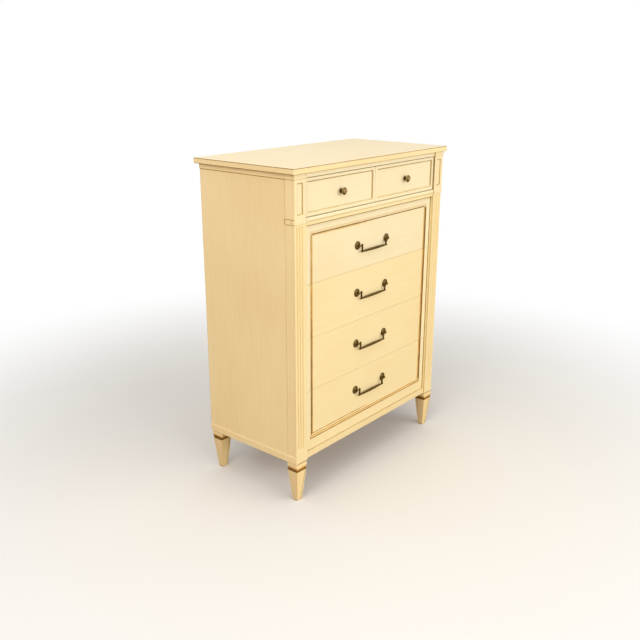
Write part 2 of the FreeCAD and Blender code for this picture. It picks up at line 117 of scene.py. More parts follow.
# Places of the glaze and edges of its masks; a lip that isn't there is far away
far_away = 10.0
mask_edge = 1.0 * MM
bare_edge = 2.0 * MM
bare_start = 14.0 * MM
bare_end = 20.0 * MM
front_skin = 4.0 * MM
leg_skin = 0.8 * MM
middle_blend = 100.0 * MM
full_glaze_level = 0.5
thin_glaze_level = 0.86
die_wash_width = 5.0 * MM
post_tone_width = 22.0 * MM
die_head_drop = 1.0 * MM
die_lip_edge = 0.3 * MM
arris_setback = 2.4 * MM
moulding_front = 7.5 * MM
moulding_back = 9.5 * MM
ring_mark_depth = 11.0 * MM
ring_end_fade = 0.8 * MM
cap_lift = 0.3 * MM
slab_under_edge = 0.2 * MM
neck_lift = 1.0 * MM
strip_fade = 1.2 * MM
strip_bare_start = 22.0 * MM
strip_bare_end = 25.0 * MM
worn_fade = 0.8 * MM

# Relief of the surfaces, and shares of the paler and of the deeper cream; the paler share above
# the posts' shafts is painted light, and the deeper tones of the side faces and of the bottom rail
# are painted shade
paint_relief = 0.2 * MM
metal_relief = 0.1 * MM
pale_share = 0.6
kept_at_foot = 0.1
side_shade_tone = 0.1
post_front_tone = 0.3
bottom_rail_shade_tone = 0.35

# Sizes of the knobs and pulls, in millimetres
knob_length = 22.5
knob_radius = 13.75
knob_base_radius = 8.5
rosette_radius = 16.25
pull_post_radius = 3.5
pull_post_length = 9.0
pivot_standoff = 11.7
pull_head_radius = 4.7
pin_radius = 2.0
pin_bore_radius = 2.06
bail_drop = 24.0
arm_half_spread = 75.0
arm_thickness = 5.5
arm_head_rise = 5.0
arm_easing = 0.9
bar_end_reach = 5.0
bar_end_radius = 2.7
bar_middle_radius = 4.9
screw_head_radius = 4.5
screw_head_thickness = 2.6
screw_slot_depth = 1.3
screw_radius = 2.0
screw_reach = 1.0
finest_step = 0.02

# The studio floor: half its width, and where it fades to white
floor_reach = 14.0
floor_fade_start = 0.9
floor_fade_end = 2.6

# Colours, linear
CREAM = (0.96, 0.812, 0.465, 1)
DEEP_CREAM = (0.9, 0.71, 0.375, 1)
# Paler creams: painted light on the upper part of the chest; the first also for the drawers' paler
# borders
BORDER_AND_PAINTED_LIGHT_CREAM = (0.95, 0.855, 0.58, 1)
PAINTED_LIGHT_DEEP_CREAM = (0.91, 0.775, 0.475, 1)
# Painted light: the top drawer paler; also a painted highlight along the legs' outer arrises
PAINTED_LIGHT_CREAM = (0.94, 0.835, 0.555, 1)
# Painted shade: deeper creams for the side faces, which have the same paint as the front
SIDE_SHADE_CREAM = (0.95, 0.77, 0.455, 1)
SIDE_SHADE_DEEP_CREAM = (0.85, 0.63, 0.32, 1)
# Painted sheen: the top face paler and cooler
TOP_SHEEN_CREAM = (0.885, 0.76, 0.51, 1)
TOP_SHEEN_DEEP_CREAM = (0.84, 0.685, 0.415, 1)
FOOT_CREAM = (0.98, 0.785, 0.42, 1)
FOOT_DEEP_CREAM = (0.93, 0.7, 0.33, 1)
# Painted shade: the legs' side faces deeper
FOOT_SIDE_SHADE_CREAM = (0.86, 0.665, 0.375, 1)
# Painted light: the frieze paler, against the shade under the top's overhang
FRIEZE_PAINTED_LIGHT_CREAM = (0.97, 0.9, 0.66, 1)
HONEY_TINT = (0.78, 0.555, 0.26, 1)
DUN_TINT = (0.69, 0.57, 0.365, 1)
UMBER_TINT = (0.2, 0.155, 0.035, 1)
# Painted shadow in the gaps between pieces
GAP_SHADOW_TINT = (0.24, 0.185, 0.06, 1)
PINE = (0.62, 0.43, 0.24, 1)
PINE_DARK = (0.36, 0.2, 0.085, 1)
MAPLE = (0.68, 0.5, 0.3, 1)
MAPLE_DARK = (0.46, 0.29, 0.14, 1)
PLY = (0.46, 0.31, 0.17, 1)
PLY_DARK = (0.27, 0.15, 0.07, 1)
BRONZE = (0.13, 0.073, 0.009, 1)
RUBBED = (0.5, 0.36, 0.16, 1)
PATINA = (0.045, 0.026, 0.004, 1)
STEEL = (0.5, 0.5, 0.48, 1)
DULL_STEEL = (0.36, 0.36, 0.35, 1)
FLOOR_GLOW = (0.44, 0.36, 0.25, 1)
FLOOR_WHITE = (0.82, 0.81, 0.79, 1)
CREAMS = (CREAM, DEEP_CREAM)
SIDE_SHADE_CREAMS = (SIDE_SHADE_CREAM, SIDE_SHADE_DEEP_CREAM)
TOP_SHEEN_CREAMS = (TOP_SHEEN_CREAM, TOP_SHEEN_DEEP_CREAM)

# Glaze lines along an edge or a level: half width, fade and strength
# The first is painted shadow in a gap, not glaze
FRONT_GAP_SHADOW_LINE = (1.2 * MM, 1.2 * MM, 0.7)
DIE_HEAD_LINE = (1.4 * MM, 1.4 * MM, 0.66)
POST_EDGE_LINE = (0.3 * MM, 0.5 * MM, 1.0)
POST_ARRIS_LINE = (0.6 * MM, 1.2 * MM, 0.2)
FRONT_ARRIS_LINE = (1.6 * MM, 1.4 * MM, 0.72)
RING_LINE = (0.7 * MM, 1.2 * MM, 1.0)
RING_MARK_LINE = (0.8 * MM, 1.4 * MM, 0.6)
RING_END_LINE = (2.4 * MM, 1.6 * MM, 0.6)
PANEL_RING_LINE = (1.8 * MM, 1.4 * MM, 0.75)
POST_HEAD_LINE = (0.8 * MM, 1.6 * MM, 1.0)
POST_FOOT_LINE = (0.6 * MM, 1.6 * MM, 1.0)
CAP_LINE = (0.5 * MM, 1.2 * MM, 0.8)
GROOVE_LINE = (0.7 * MM, 0.9 * MM, 0.3)
UNDER_STRIP_LINE = (0.8 * MM, 1.8 * MM, 0.7)
BASE_LINE = (0.4 * MM, 1.4 * MM, 0.2)
BACK_LINE = (0.5 * MM, 1.5 * MM, 0.5)
STRIP_ARRIS = (0.4 * MM, 1.0 * MM, 0.15)
SLAB_RIM = (1.4 * MM, 1.6 * MM, 1.0)
SLAB_TINT = (1.0 * MM, 4.0 * MM, 0.16)
SLAB_FOOT_LINE = (0.8 * MM, 1.6 * MM, 1.0)
COLLAR_HEAD_LINE = (1.6 * MM, 2.4 * MM, 1.0)
NECK_LINE = (2.0 * MM, 2.0 * MM, 0.9)

# Glaze lines at a depth: the depth, half width, fade and strength
LIP_LINE = (0.2 * MM, 0.4 * MM, 0.8 * MM, 0.3)
CORE_LINE = (2.0 * MM, 3.0 * MM, 2.2 * MM, 0.92)
HEAD_LINE = (11.6 * MM, 1.5 * MM, 2.0 * MM, 0.88)
FOOT_LIP_LINE = (-0.4 * MM, 1.7 * MM, 1.4 * MM, 0.66)
FOOT_LINE = (8.6 * MM, 0.9 * MM, 1.4 * MM, 0.66)
LEG_ARRIS_LINE = (0.8 * MM, 1.0 * MM, 1.6 * MM, 0.3)
LEG_FRONT_LINE = (8.5 * MM, 0.8 * MM, 1.4 * MM, 0.8)
LEG_SIDE_LINE = (8.0 * MM, 0.6 * MM, 1.2 * MM, 0.45)

# Bands of glaze: from and to a depth, and the fade; a wash has a strength too
STEEP_BAND = (3.5 * MM, 10.5 * MM, 2.0 * MM)
INNER_BAND = (11.0 * MM, wide_slope + 3.0 * MM, 1.6 * MM)
HEAD_WASH = (1.0 * MM, 10.0 * MM, 1.0 * MM, 0.26)
FOOT_WASH = (2.0 * MM, 8.0 * MM, 0.3 * MM, 0.36)

# Masks that fade out upwards or inwards: from, to and strength. Under the collar they are brown
# glaze and painted shade, the last one on the side faces only; at the toe dirt and painted contact
# shade; along the leg's outer arrises a painted highlight
COLLAR_GLAZE_AND_SHADES = (
    (9.0 * MM, 17.0 * MM, 0.5),
    (2.0 * MM, 13.0 * MM, 0.84),
    (5.0 * MM, 19.0 * MM, 0.84),
)
TOE_DIRT_AND_SHADE = (1.0 * MM, 6.0 * MM, 0.8)
LEG_HIGHLIGHT_STRIP = (6.0 * MM, 8.0 * MM, 0.7)

# Skins just inside a face, from and to
FINE_SKIN = (0.5 * MM, 0.2 * MM)
PAINT_SKIN = (1.6 * MM, 0.8 * MM)
SLAB_SIDE_SKIN = (0.8 * MM, 0.3 * MM)
SLAB_RIM_SKIN = (4.0 * MM, 3.0 * MM)

# Strengths of glaze: three single ones, then above and at the foot, high and low
# on the chest (two), left and right, and for the rest front and side
RIGHT_STEEP_GLAZE = 0.56
DIE_WASH_GLAZE = 0.42
DIE_WALL_GLAZE = 0.7
SMALL_MOULDING_GLAZE = (0.6, 0.4)
LEFT_STEEP_GLAZE = (0.64, 0.84)
INNER_GLAZE = (0.46, 0.66)
FLUTE_GLAZE = (0.34, 0.22)
RING_GLAZE = (0.16, 0.72)
POST_HEAD_GLAZE = (0.25, 0.9)
POST_FOOT_GLAZE = (0.08, 0.68)
CAP_GLAZE = (0.35, 0.85)
SLAB_RIM_GLAZE = (0.85, 1.1)
SLAB_FOOT_GLAZE = (0.58, 1.13)
COLLAR_HEAD_GLAZE = (0.05, 0.85)
TOE_DIRT_AND_SHADE_GLAZE = (0.5, 1.0)

# Worn bands of the brass: from and to in mm out from the front, and share
KNOB_WORN = ((-1, 2.4, 0.3), (15, 19, 0.45), (21.6, 24, 0.7))
PULL_WORN = ((1.7, 3.2, 0.3), (14, 20, 0.25))
BAIL_WORN = ((14.6, 24, 0.12),)

# Sockets that several node groups share
PLACE_INPUT = ("Vector", "Vector", (0, 0, 0))
FINISH_OUTPUTS = (("Color", "Color"), ("Roughness", "Float"), ("Height", "Float"))


class Graph:
    """Adds nodes to one node tree, each fed with the sockets or values given."""

    def __init__(self, tree):
        self.tree = tree

    def feed(self, socket, value):
        if isinstance(value, bpy.types.NodeSocket):
            self.tree.links.new(value, socket)
        else:
            socket.default_value = value

    def feed_each(self, sockets, values):
        for socket, value in zip(sockets, values):
            self.feed(socket, value)

    def add(self, kind, settings=None, **inputs):
        """New node; an underscore in an input's name stands for a space."""
        node = self.tree.nodes.new("ShaderNode" + kind)
        for name, value in (settings or {}).items():
            setattr(node, name, value)
        for name, value in inputs.items():
            self.feed(node.inputs[name.replace("_", " ")], value)
        return node

    def group(self, tree, **inputs):
        return self.add("Group", {"node_tree": tree}, **inputs)

    def operate(self, kind, operation, values):
        node = self.add(kind, {"operation": operation})
        self.feed_each(node.inputs, values)
        return node.outputs[0]

    def math(self, operation, *values):
        return self.operate("Math", operation, values)

    def vector(self, operation, *values):
        return self.operate("VectorMath", operation, values)

    def times(self, product, *factors):
        for factor in factors:
            product = self.math("MULTIPLY", product, factor)
        return product

    def inverse(self, mask):
        return self.math("SUBTRACT", 1.0, mask)

    def clamp(self, value):
        return self.add("Clamp", Value=value).outputs[0]

    def highest(self, masks):
        result = masks[0]
        for mask in masks[1:]:
            result = self.math("MAXIMUM", result, mask)
        return result

    def mix(self, factor, first, second, blend="MIX"):
        """Colour between two, or the first multiplied by the second."""
        node = self.add("Mix", {"data_type": "RGBA", "blend_type": blend})
        sockets = [node.inputs[n] for n in (0, 6, 7)]
        self.feed_each(sockets, (factor, first, second))
        return node.outputs[2]

    def between(self, factor, first, second):
        """Value between two: the first where the factor is 0."""
        node = self.add("Mix", {"data_type": "FLOAT"})
        sockets = [node.inputs[n] for n in (0, 2, 3)]
        self.feed_each(sockets, (factor, first, second))
        return node.outputs[0]

    def ramp(self, value, low, high, bottom=0.0, top=1.0):
        """Smooth step of a value from one level to another."""
        node = self.add("MapRange", {"interpolation_type": "SMOOTHSTEP"})
        self.feed_each(node.inputs, (value, low, high, bottom, top))
        return node.outputs[0]

    def fall(self, value, low, high, strength=1.0):
        """Mask that falls from its strength to 0 between two places."""
        return self.ramp(value, low, high, strength, 0.0)

    def blend(self, parts, end):
        """Feed an end node from a factor and the two shaders after it."""
        node = self.add("MixShader")
        self.feed_each(node.inputs, parts)
        self.feed(end.inputs["Surface"], node.outputs[0])

    def noise(self, vector, scale, detail=3.0, roughness=0.5):
        node = self.add("TexNoise", Vector=vector, Scale=scale, Detail=detail, Roughness=roughness)
        return node.outputs[0]


def new_tree(name, kind, inputs, outputs):
    """A node group with named sockets; gives its tree and both ends."""
    tree = bpy.data.node_groups.new(name, kind)
    for way, sockets in (("INPUT", inputs), ("OUTPUT", outputs)):
        for label, data, *value in sockets:
            socket = tree.interface.new_socket(label, in_out=way, socket_type="NodeSocket" + data)
            if value:
                socket.default_value = value[0]
    start = tree.nodes.new("NodeGroupInput")
    end = tree.nodes.new("NodeGroupOutput")
    return tree, start.outputs, end.inputs


def floats(*names):
    return [(name, "Float", 0.0) for name in names]


def new_group(name, inputs, outputs):
    tree, given, out = new_tree(name, "ShaderNodeTree", inputs, outputs)
    return Graph(tree), given, out


def glaze_line_group():
    """Mask of a line where a value passes a place, fading to both sides."""
    inputs = floats("Value", "Place", "Half Width", "Fade")
    g, given, out = new_group("Glaze Line", inputs, floats("Mask"))
    away = g.math("SUBTRACT", given["Value"], given["Place"])
    away = g.math("ABSOLUTE", away)
    end = g.math("ADD", given["Half Width"], given["Fade"])
    g.feed(out["Mask"], g.fall(away, given["Half Width"], end))
    return g.tree


def panel_distance_group():
    """Distance in the front's plane from a rectangle's edge, inside negative."""
    inputs = floats("X", "Z", "Low X", "High X", "Low Z", "High Z")
    g, given, out = new_group("Panel Distance", inputs, floats("Distance"))
    sides = []
    for axis in ("X", "Z"):
        sides.append(g.math("SUBTRACT", given["Low " + axis], given[axis]))
        sides.append(g.math("SUBTRACT", given[axis], given["High " + axis]))
    g.feed(out["Distance"], g.highest(sides))
    return g.tree


def arris_distance_group():
    """Distance along a box's faces to its nearest arris."""
    inputs = (PLACE_INPUT, ("Low", "Vector", (0, 0, 0)), ("High", "Vector", (1, 1, 1)))
    g, given, out = new_group("Arris Distance", inputs, floats("Distance"))
    above = g.vector("SUBTRACT", given["Vector"], given["Low"])
    below = g.vector("SUBTRACT", given["High"], given["Vector"])
    nearest = g.vector("ABSOLUTE", g.vector("MINIMUM", above, below))
    x, y, z = g.add("SeparateXYZ", Vector=nearest).outputs
    smaller = g.math("MINIMUM", x, y)
    larger = g.math("MAXIMUM", x, y)
    middle = g.math("MAXIMUM", smaller, g.math("MINIMUM", larger, z))
    g.feed(out["Distance"], middle)
    return g.tree


def cream_paint_group():
    """Brushed cream paint, toned in clouds and streaks, with glaze by a mask and painted gap
    shadow by another.
    """
    inputs = (
        PLACE_INPUT,
        ("Grain", "Vector", (1, 1, 1)),
        ("Offset", "Vector", (0, 0, 0)),
        ("Pale", "Color", CREAM),
        ("Deep", "Color", DEEP_CREAM),
        ("Wash Tint", "Color", DUN_TINT),
        *floats("Tone", "Glaze", "Line", "Gap"),
    )
    g, given, out = new_group("Cream Paint", inputs, FINISH_OUTPUTS)
    place = g.vector("ADD", given["Vector"], given["Offset"])
    along = g.vector("MULTIPLY", place, given["Grain"])
    clouds = g.noise(place, 3.2, 2.0)
    streaks = g.noise(along, 90.0, 4.0, 0.6)
    brush = g.noise(along, 420.0, 2.0)
    patches = g.noise(place, 24.0, 3.0, 0.6)

    tone = g.ramp(clouds, 0.3, 0.72, 0.0, 0.34)
    tone = g.math("ADD", tone, g.ramp(streaks, 0.42, 0.7, 0.0, 0.22))
    tone = g.math("ADD", tone, given["Tone"])
    tone = g.math("MINIMUM", tone, 1.0)
    color = g.mix(tone, given["Pale"], given["Deep"])

    # Coats of glaze: the first ones wash the cream, more of them turn to umber
    wash_full, umber_full = 0.6, 2.7
    uneven = g.ramp(patches, 0.3, 0.65, 0.84, 1.0)
    glaze = g.times(given["Glaze"], uneven)
    coats = g.times(glaze, glaze, 2.9)
    line = g.times(given["Line"], uneven)
    line = g.times(line, g.math("MULTIPLY_ADD", line, 1.25, 0.6))
    coats = g.math("MAXIMUM", coats, line)
    wash = g.clamp(g.math("DIVIDE", coats, wash_full))
    umber = g.math("SUBTRACT", coats, wash_full)
    umber = g.clamp(g.math("DIVIDE", umber, umber_full - wash_full))
    umber = g.times(umber, g.math("SUBTRACT", 2.0, umber))
    color = g.mix(wash, color, given["Wash Tint"], "MULTIPLY")
    color = g.mix(umber, color, UMBER_TINT, "MULTIPLY")
    # Painted shadow in the gaps between pieces, a neutral darkening
    color = g.mix(given["Gap"], color, GAP_SHADOW_TINT, "MULTIPLY")
    g.feed(out["Color"], color)

    rough = g.ramp(streaks, 0.3, 0.7, 0.4, 0.5)
    rough = g.math("ADD", rough, g.ramp(coats, 0.5, 2.5, 0.0, 0.2))
    g.feed(out["Roughness"], rough)
    g.feed(out["Height"], g.math("ADD", g.times(brush, 0.35), g.times(streaks, 0.65)))
    return g.tree


def bare_wood_group():
    """Unfinished wood: bands along the grain and short dark pores."""
    inputs = (
        PLACE_INPUT,
        ("Grain", "Vector", (1, 1, 1)),
        ("Pale", "Color", PINE),
        ("Dark", "Color", PINE_DARK),
    )
    g, given, out = new_group("Bare Wood", inputs, FINISH_OUTPUTS)
    along = g.vector("MULTIPLY", given["Vector"], given["Grain"])
    bands = g.add("TexNoise", Vector=along, Scale=26.0, Detail=5.0, Distortion=0.6)
    bands = bands.outputs[0]
    pores = g.noise(along, 260.0, 3.0, 0.7)
    clouds = g.noise(given["Vector"], 6.0, 2.0)
    share = g.ramp(bands, 0.35, 0.68, 0.05, 0.75)
    share = g.math("ADD", share, g.ramp(pores, 0.58, 0.75, 0.0, 0.35))
    share = g.math("ADD", share, g.ramp(clouds, 0.3, 0.7, -0.1, 0.15))
    g.feed(out["Color"], g.mix(g.clamp(share), given["Pale"], given["Dark"]))
    g.feed(out["Roughness"], g.ramp(pores, 0.3, 0.7, 0.6, 0.8))
    g.feed(out["Height"], g.math("ADD", bands, g.times(pores, 0.6)))
    return g.tree


def antique_brass_group():
    """Dark patina over brass, worn back to metal where the mask is high."""
    inputs = (PLACE_INPUT, *floats("Rub"))
    g, given, out = new_group("Antique Brass", inputs, FINISH_OUTPUTS)
    blotches = g.noise(given["Vector"], 150.0, 4.0, 0.65)
    grit = g.noise(given["Vector"], 900.0, 3.0, 0.6)
    rub = g.times(given["Rub"], g.ramp(blotches, 0.3, 0.6, 0.45, 1.0))
    rub = g.clamp(g.math("ADD", rub, g.ramp(blotches, 0.58, 0.72, 0.0, 0.25)))
    dark = g.mix(g.ramp(grit, 0.4, 0.65), BRONZE, PATINA)
    g.feed(out["Color"], g.mix(rub, dark, RUBBED))
    g.feed(out["Roughness"], g.math("SUBTRACT", 0.62, g.times(rub, 0.25)))
    g.feed(out["Height"], g.math("ADD", grit, g.times(blotches, 0.5)))
    return g.tree


GLAZE_LINE = glaze_line_group()
PANEL_DISTANCE = panel_distance_group()
ARRIS_DISTANCE = arris_distance_group()
CREAM_PAINT = cream_paint_group()
BARE_WOOD = bare_wood_group()
ANTIQUE_BRASS = antique_brass_group()

# Grain directions: the noise is drawn out where its scale is small
GRAIN_X = (0.06, 1.0, 1.0)
GRAIN_Y = (1.0, 0.06, 1.0)
GRAIN_Z = (1.0, 1.0, 0.06)


class Surface(Graph):
    """A material being made: its graph, and the place of the shaded point."""

    def __init__(self, name):
        self.material = bpy.data.materials.new(name)
        self.material.use_nodes = True
        super().__init__(self.material.node_tree)
        self.shader = self.tree.nodes["Principled BSDF"]
        self.place = self.add("TexCoord").outputs["Object"]
        self.x, self.y, self.z = self.add("SeparateXYZ", Vector=self.place).outputs
        self.across = self.math("ABSOLUTE", self.x)

    def line(self, value, place, half_width, fade, strength):
        """Glaze line where a value passes a place."""
        node = self.group(GLAZE_LINE)
        self.feed_each(node.inputs, (value, place, half_width, fade))
        return self.times(node.outputs[0], strength)

    def within(self, value, low, high, fade=0.3 * MM, strength=1.0):
        """Mask of the stretch between two places."""
        rise = self.ramp(value, low - fade, low, 0.0, strength)
        return self.times(rise, self.fall(value, high, high + fade))

    def on_face(self, value, plane, skin):
        """Mask of the skin just inside a plane that a value rises to."""
        start, end = skin
        return self.ramp(value, plane - start, plane - end)

    def arris(self, low, high, look):
        """Thin glaze along the arrises of the box between two corners."""
        node = self.group(ARRIS_DISTANCE, Vector=self.place, Low=low, High=high)
        return self.line(node.outputs[0], 0.0, *look)

    def to_right(self):
        """Mask of the right half, blended in across the middle."""
        return self.ramp(self.x, -middle_blend, middle_blend)

    def under_lip(self, panel, across=None):
        """Distance inwards from the lip of a sunk panel."""
        node = self.group(PANEL_DISTANCE)
        self.feed_each(node.inputs, (across or self.x, self.z, *panel))
        return self.times(node.outputs[0], -1.0)

    def along_foot(self, panel, slope):
        """Mask of a panel's moulding along its foot."""
        head = panel[2] + slope
        return self.fall(self.z, head - mask_edge, head)

    def lip_line(self, panel, across=None):
        return self.line(self.under_lip(panel, across), *LIP_LINE)

    def small_moulding(self, panel, slope, across=None):
        """Glaze of a narrow sunk moulding: brown above, thin and golden below."""
        slopes = self.within(self.under_lip(panel, across), 0.0, slope)
        below = self.along_foot(panel, slope)
        return self.times(slopes, self.between(below, *SMALL_MOULDING_GLAZE))

    def wide_moulding(self, panel, slope):
        """Glaze of the wide drawers' moulding, gathered on its steep part."""
        depth = self.under_lip(panel)
        head_start = panel[3] - slope
        above = self.ramp(self.z, head_start, head_start + mask_edge)
        below = self.along_foot(panel, slope)
        beside = self.inverse(self.math("MAXIMUM", above, below))
        lower = self.fall(self.z, full_glaze_level, thin_glaze_level)
        to_right = self.to_right()
        to_left = self.inverse(to_right)

        strength = self.between(lower, *LEFT_STEEP_GLAZE)
        strength = self.between(to_right, strength, RIGHT_STEEP_GLAZE)
        steep = self.times(self.within(depth, *STEEP_BAND), beside, strength)
        core = self.times(self.line(depth, *CORE_LINE), beside, to_right)
        inner = self.times(self.within(depth, *INNER_BAND), beside, to_left)
        inner = self.times(inner, self.between(lower, *INNER_GLAZE))

        head = [self.line(depth, *HEAD_LINE), self.within(depth, *HEAD_WASH)]
        head = self.times(self.highest(head), above)
        foot = [self.line(depth, *FOOT_LIP_LINE), self.line(depth, *FOOT_LINE)]
        foot.append(self.within(depth, *FOOT_WASH))
        foot = self.times(self.highest(foot), below)
        return self.highest([steep, core, inner, head, foot])

    def finish(self, finish, bump=0.15, depth=paint_relief, metallic=0.0):
        """Feed the shader from a group that puts out colour, roughness, height."""
        color, rough, height = finish
        relief = self.add("Bump", Height=height, Strength=bump, Distance=depth)
        for name, value in (
            ("Base Color", color), ("Roughness", rough), ("Metallic", metallic),
            ("Normal", relief.outputs["Normal"]),
        ):
            self.feed(self.shader.inputs[name], value)
        return self.material

    def paint(
        self, glazes, lines, grain, offset, bare=None, creams=CREAMS, tone=0.0,
        gap_shadows=(), wash=DUN_TINT,
    ):
        """Cream paint with glaze and line masks and painted gap shadows, over bare wood where bare
        is 1.
        """
        pale, deep = creams
        node = self.group(
            CREAM_PAINT, Vector=self.place, Grain=grain, Offset=offset, Pale=pale,
            Deep=deep, Tone=tone, Glaze=self.highest(glazes or [0.0]),
            Line=self.highest(lines), Gap=self.highest(gap_shadows or [0.0]), Wash_Tint=wash,
        )
        self.shader.inputs["Specular IOR Level"].default_value = 0.25
        if bare is None:
            return self.finish(node.outputs)
        color, *painted = node.outputs
        wood_color, *plain = wood_finish(self, grain, MAPLE, MAPLE_DARK)
        parts = [self.mix(bare, color, wood_color)]
        for coated, uncoated in zip(painted, plain):
            parts.append(self.between(bare, coated, uncoated))
        return self.finish(parts)


def wood_finish(surface, grain, pale, dark):
    place = surface.place
    return surface.group(BARE_WOOD, Vector=place, Grain=grain, Pale=pale, Dark=dark).outputs


def wood_material(name, grain, pale, dark):
    surface = Surface(name)
    return surface.finish(wood_finish(surface, grain, pale, dark), 0.3)


def steel_material():
    surface = Surface("zinc_plated_steel")
    turned = surface.noise(surface.place, 700.0, 4.0, 0.7)
    dull = surface.noise(surface.place, 60.0, 3.0)
    color = surface.mix(dull, STEEL, DULL_STEEL)
    rough = surface.ramp(turned, 0.3, 0.7, 0.3, 0.48)
    return surface.finish([color, rough, turned], 0.2, metal_relief, 1.0)


def front_paint(name, panel, slope, offset, creams):
    """Paint of a drawer front, with glaze on its sunk panel's moulding, and painted gap shadow
    along the foot of the small fronts.
    """
    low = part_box(name)[0]
    surface = Surface(name + "_paint")
    wide = slope == wide_slope
    moulding = surface.wide_moulding if wide else surface.small_moulding
    border = surface.fall(surface.under_lip(panel), 0.0, mask_edge, pale_share)
    foot = panel[2]
    above_foot = surface.ramp(surface.z, foot - mask_edge, foot, kept_at_foot, 1.0)
    border = surface.times(border, above_foot)
    behind = (low.y + front_seat) / 2
    return surface.paint(
        [moulding(panel, slope)], [surface.lip_line(panel)], GRAIN_X, offset,
        surface.ramp(surface.y, behind, behind + bare_edge),
        [surface.mix(border, cream, BORDER_AND_PAINTED_LIGHT_CREAM) for cream in creams],
        gap_shadows=[] if wide else [surface.line(surface.z, low.z, *FRONT_GAP_SHADOW_LINE)],
        wash=HONEY_TINT if wide else DUN_TINT,
    )


def wide_front_paint(n):
    name = f"drawer_{n}_front"
    low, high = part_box(name)
    foot = low.z + wide_border_bottom if n == 4 else -far_away
    head = high.z - wide_border_top if n == 1 else far_away
    panel = (low.x + wide_border_side, high.x - wide_border_side, foot, head)
    # The top drawer in paler cream: painted light
    creams = CREAMS if n > 1 else (PAINTED_LIGHT_CREAM, DEEP_CREAM)
    return front_paint(name, panel, wide_slope, (0.0, 0.0, 1.7 * n), creams)


def small_front_paint(side):
    name = f"upper_{side}_front"
    low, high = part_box(name)
    left, right = small_border_outer, small_border_centre
    offset = (0.0, 3.1, 0.0)
    if side == "right":
        left, right = right, left
        offset = (0.0, 5.3, 0.0)
    panel = (
        low.x + left, high.x - right,
        low.z + small_border_bottom, high.z - small_border_top,
    )
    # The small drawers in paler creams: painted light
    creams = (BORDER_AND_PAINTED_LIGHT_CREAM, PAINTED_LIGHT_DEEP_CREAM)
    return front_paint(name, panel, small_slope, offset, creams)


def post_paint():
    """Paint of both posts: glaze in the flutes, round the ring, die and cap; painted light above
    the shaft and painted shade on the side faces.
    """
    surface = Surface("post_paint")
    across, y, z = surface.across, surface.y, surface.z
    line, ramp, fall, times = surface.line, surface.ramp, surface.fall, surface.times
    between, highest = surface.between, surface.highest
    ring_foot = small_level - ring_height
    behind_front = posts_front + front_skin
    on_front = fall(y, behind_front, behind_front + mask_edge)
    on_side = surface.on_face(across, case_half, FINE_SKIN)
    shaft = fall(z, ring_foot, ring_foot + mask_edge)
    above_shaft = surface.inverse(shaft)
    to_right = surface.to_right()

    half = flute_spacing + flute_width / 2
    sunk = ramp(y, posts_front + flute_lip, posts_front + flute_depth)
    in_flutes = surface.within(across, flute_middle - half, flute_middle + half)
    flutes = times(sunk, in_flutes, shaft, on_front, between(to_right, *FLUTE_GLAZE))

    panel = (
        die_middle - die_panel_width / 2, die_middle + die_panel_width / 2,
        small_level + die_panel_foot_margin, frieze_level - die_panel_head_margin,
    )
    in_die = surface.under_lip(panel, across)
    die_wash = fall(in_die, die_slope, die_slope + die_wash_width, DIE_WASH_GLAZE)
    die_head = line(z, panel[3] - die_head_drop, *DIE_HEAD_LINE)
    die_head = times(highest([die_head, die_wash]), ramp(in_die, 0.0, die_lip_edge))
    die = highest([surface.small_moulding(panel, die_slope, across), die_head])

    shaft_edge = line(across, opening_half, *POST_EDGE_LINE)
    arris = line(y, posts_front, *POST_ARRIS_LINE)
    corner = ramp(y, posts_front + moulding_front, posts_front + moulding_back)
    front_arris = line(across, opening_half + arris_setback, *FRONT_ARRIS_LINE)
    die_edge = line(across, opening_half + die_inner_setback, *POST_EDGE_LINE)

    ring = highest([line(z, level, *RING_LINE) for level in (small_level, ring_foot)])
    marks = [
        line(y, posts_front + ring_mark_depth, *RING_MARK_LINE),
        line(y, side_front, *RING_END_LINE),
    ]
    on_ring = surface.within(z, ring_foot, small_level)
    head = line(z, top_level, *POST_HEAD_LINE)
    cap = line(z, frieze_level + cap_lift, *CAP_LINE)
    foot = line(z, foot_level, *POST_FOOT_LINE)
    glazes = [
        times(die, on_front), times(shaft_edge, shaft, highest([arris, corner])),
        times(die_edge, above_shaft, DIE_WALL_GLAZE),
        times(foot, between(on_side, *POST_FOOT_GLAZE)),
    ]
    lines = [
        flutes, times(front_arris, on_front, to_right),
        times(surface.lip_line(panel, across), on_front),
        times(ring, between(on_side, *RING_GLAZE)),
        times(highest(marks), on_ring, on_side),
        times(head, between(on_side, *POST_HEAD_GLAZE)),
        times(cap, between(on_side, *CAP_GLAZE)), line(y, side_front, *GROOVE_LINE),
    ]
    behind = ramp(y, posts_front + bare_start, posts_front + bare_end)
    inner = fall(across, case_half - bare_edge, case_half - mask_edge)
    # Painted light: the front paler above the shaft. Painted shade: side creams and a deeper tone
    # on the side face, most near its front
    front = surface.mix(times(above_shaft, pale_share), CREAM, BORDER_AND_PAINTED_LIGHT_CREAM)
    pairs = zip((front, DEEP_CREAM), SIDE_SHADE_CREAMS)
    creams = [surface.mix(on_side, *pair) for pair in pairs]
    tone_end = posts_front + post_tone_width
    tone = ramp(y, posts_front, tone_end, post_front_tone, side_shade_tone)
    offset = (0.7, 0.2, 0.0)
    bare = times(behind, inner)
    return surface.paint(glazes, lines, GRAIN_Z, offset, bare, creams, times(tone, on_side))


